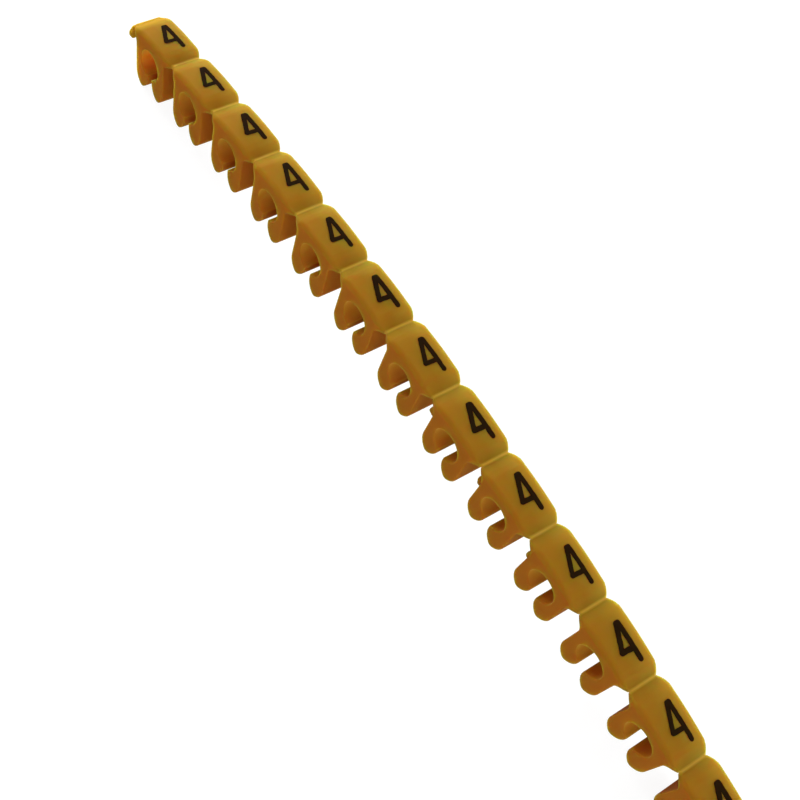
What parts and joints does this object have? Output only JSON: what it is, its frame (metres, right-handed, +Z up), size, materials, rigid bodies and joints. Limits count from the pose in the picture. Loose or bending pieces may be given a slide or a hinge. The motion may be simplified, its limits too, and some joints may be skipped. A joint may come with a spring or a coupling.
{
  "type": "cable marker strip",
  "caption": "One-piece strip of yellow clip-on cable markers, gently bowed, each a small number plate over a split round clip, joined end to end by thin break-off webs.",
  "frame": {"origin": "the surface the strip rests on, under the middle of the strip's length and width", "axes": "+X along the strip away from its broken end, +Y along the cables that the clips hold, +Z up out of the number plates"},
  "size_m": [0.0624, 0.0028, 0.0069],
  "materials": {
    "marker_plastic": "moulded thermoplastic, satin, slightly translucent, with thin walls that glow orange against the light",
    "number_ink": "flat black printing ink on the number plates"
  },
  "bodies": {
    "root": {"marker_strip": "marker_plastic"}
  },
  "joints": []
}
